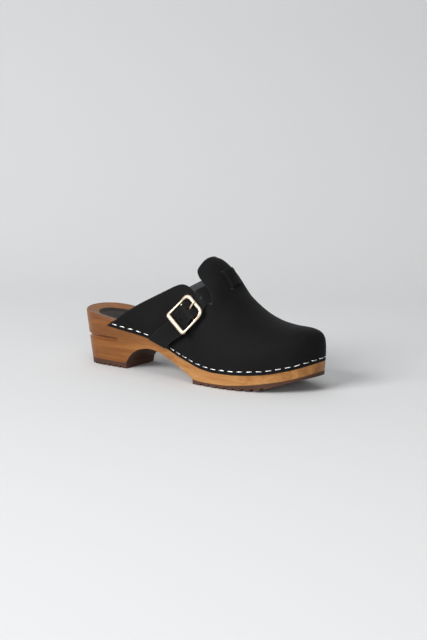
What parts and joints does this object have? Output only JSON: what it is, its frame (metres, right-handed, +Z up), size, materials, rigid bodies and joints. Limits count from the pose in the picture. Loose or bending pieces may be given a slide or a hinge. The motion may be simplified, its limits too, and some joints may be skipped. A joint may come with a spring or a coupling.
{
  "type": "clog shoe",
  "caption": "Right-foot clog with a carved wooden heel sole, a stapled closed-toe leather upper and an instep strap held by a side buckle.",
  "frame": {"origin": "on the ground under the middle of the bounding box", "axes": "+X from the heel to the toe, +Y towards the inner side of the foot, +Z up"},
  "size_m": [0.254, 0.0987, 0.1137],
  "materials": {
    "sole_wood": "clear varnished, fine straight grain",
    "outsole_rubber": "matte",
    "sock_foam": "open-cell foam",
    "sock_leather": "smooth",
    "upper_leather": "matte oiled nubuck",
    "strap_leather": "matte oiled nubuck",
    "tab_leather": "matte",
    "buckle_metal": "polished pale gold plating",
    "bar_metal": "polished pale gold plating",
    "prong_metal": "polished pale gold plating",
    "staple_steel": "bright wire"
  },
  "bodies": {
    "clog": {"wooden_sole": "sole_wood", "heel_outsole": "outsole_rubber", "forefoot_outsole": "outsole_rubber", "sock_foam": "sock_foam", "sock_lining": "sock_leather", "upper": "upper_leather", "instep_strap": "strap_leather", "buckle_tab": "tab_leather", "upper_staples": "staple_steel", "buckle_tab_staples": "staple_steel", "strap_end_staples": "staple_steel"},
    "buckle": {"buckle_frame": "buckle_metal", "buckle_centre_bar": "bar_metal"},
    "prong": {"buckle_prong": "prong_metal"}
  },
  "joints": [
    {"name": "buckle_swing", "type": "hinge", "parent": "clog", "child": "buckle", "pos_m": [0.01018, -0.03808, 0.06614], "axis": [0.8092, -0.1942, -0.5544], "range_deg": [-2, 2]},
    {"name": "prong_pivot", "type": "hinge", "parent": "buckle", "child": "prong", "pos_m": [0.01018, -0.03808, 0.06614], "axis": [0.8092, -0.1942, -0.5544], "range_deg": [0, 12]}
  ]
}
